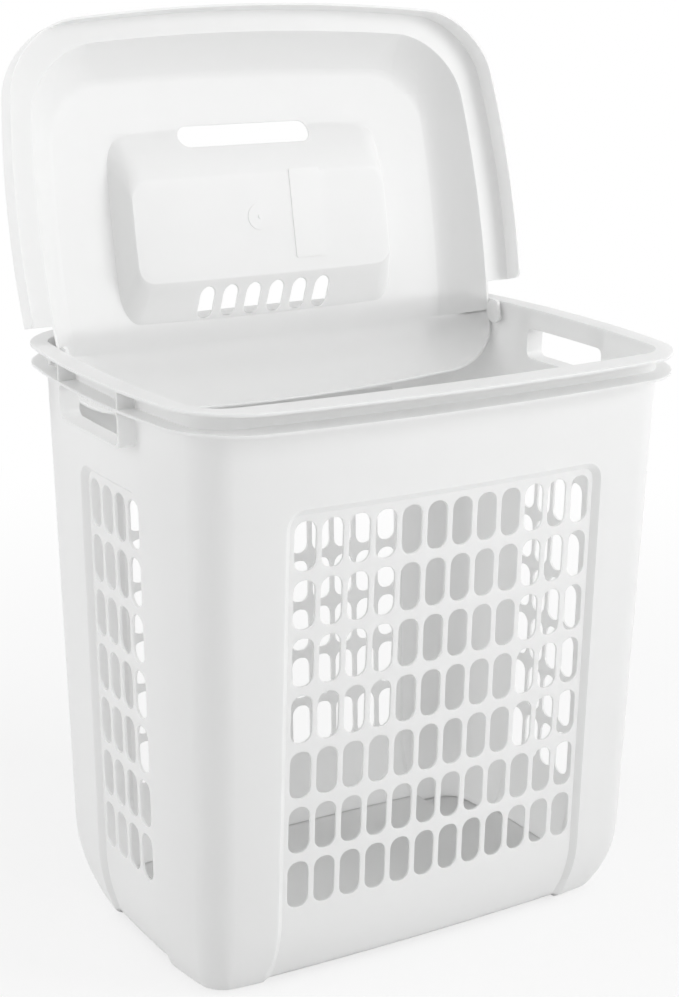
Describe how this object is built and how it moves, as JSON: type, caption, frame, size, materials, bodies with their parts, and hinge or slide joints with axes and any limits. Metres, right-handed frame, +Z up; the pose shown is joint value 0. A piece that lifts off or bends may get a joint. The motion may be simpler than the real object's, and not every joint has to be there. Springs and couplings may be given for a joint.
{
  "type": "laundry hamper",
  "caption": "Tall moulded laundry hamper with slotted recessed panels, a double rim flange, side hand holes and a domed lid hinged on moulded pins.",
  "frame": {"origin": "on the floor under the middle of the whole hamper as it stands with its lid open", "axes": "+Z up, +X along the long side towards the right hand hole, +Y towards the back, where the open lid leans"},
  "size_m": [0.5014, 0.3954, 0.7823],
  "materials": {
    "basket_plastic": "white moulded polypropylene, semi-matte",
    "lid_plastic": "white moulded polypropylene, semi-matte"
  },
  "bodies": {
    "tub": {"basket": "basket_plastic"},
    "cover": {"lid": "lid_plastic"}
  },
  "joints": [
    {"name": "lid_hinge", "type": "hinge", "parent": "tub", "child": "cover", "pos_m": [0, 0.09182, 0.4955], "axis": [1, 0, 0], "range_deg": [0, 104.4]}
  ]
}
